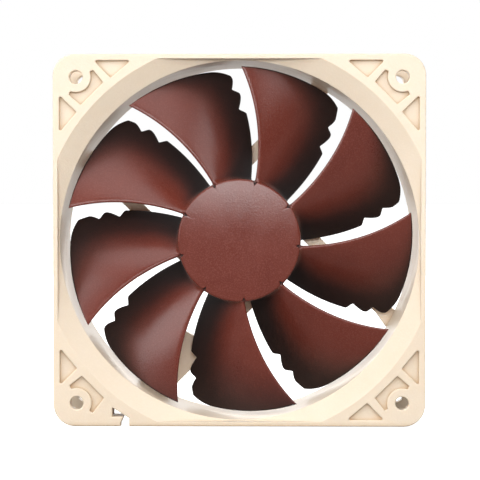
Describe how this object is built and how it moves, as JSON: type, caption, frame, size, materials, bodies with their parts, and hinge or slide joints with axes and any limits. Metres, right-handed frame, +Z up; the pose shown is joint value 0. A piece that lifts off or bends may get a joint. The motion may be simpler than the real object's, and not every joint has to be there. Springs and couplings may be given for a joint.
{
  "type": "computer case fan",
  "caption": "Square-framed axial case fan with open corner flanges, a bladed impeller on an outer-rotor motor, and screw holes for mounting.",
  "frame": {"origin": "centre of the whole fan, on the rotor's axis, half-way between the intake and exhaust planes", "axes": "-Y out of the intake side, +Y out of the exhaust side along the rotor's axis, +Z up, +X to the right seen from the intake side"},
  "size_m": [0.12, 0.025, 0.12],
  "materials": {
    "frame_plastic": "fine-textured moulded plastic, warm cream",
    "impeller_plastic": "satin moulded plastic, red-brown",
    "yoke_steel": "zinc-plated deep-drawn steel",
    "ferrite": "dark bonded ferrite",
    "shaft_steel": "ground and polished",
    "brass": "turned",
    "spring_steel": "blued",
    "sintered_bronze": "porous, oil-soaked",
    "seal_rubber": "soft",
    "white_plastic": "moulded nylon",
    "tinned_pins": "tinned",
    "board": "glass-epoxy with green solder resist",
    "foil_label": "plain foil with no text",
    "chip_plastic": "moulded epoxy",
    "ceramic": "ceramic with tinned ends",
    "electrical_steel": "stamped, varnished",
    "copper_wire": "enamelled wire"
  },
  "bodies": {
    "housing": {"frame": "frame_plastic", "bearing_housing": "brass", "sleeve_bearing": "sintered_bronze", "oil_seal_ring": "seal_rubber", "thrust_pad": "white_plastic", "bearing_magnet": "ferrite", "bearing_end_cap": "brass", "upper_insulator": "white_plastic", "lower_insulator": "white_plastic", "terminal_pins": "tinned_pins", "circuit_board": "board", "rear_label": "foil_label", "hall_sensor": "chip_plastic", "driver_chip": "chip_plastic", "protection_diode": "chip_plastic", "capacitors": "ceramic", "resistors": "ceramic", "lamination_01": "electrical_steel", "lamination_02": "electrical_steel", "lamination_03": "electrical_steel", "lamination_04": "electrical_steel", "lamination_05": "electrical_steel", "lamination_06": "electrical_steel", "lamination_07": "electrical_steel", "lamination_08": "electrical_steel", "lamination_09": "electrical_steel", "lamination_10": "electrical_steel", "coil_1": "copper_wire", "coil_2": "copper_wire", "coil_3": "copper_wire", "coil_4": "copper_wire"},
    "rotor": {"impeller": "impeller_plastic", "rotor_yoke": "yoke_steel", "ring_magnet": "ferrite", "shaft": "shaft_steel", "shaft_insert": "brass", "retaining_ring": "spring_steel"}
  },
  "joints": [
    {"name": "rotor_spin", "type": "hinge", "parent": "housing", "child": "rotor", "pos_m": [0, 0, 0], "axis": [0, 1, 0], "continuous": true}
  ]
}
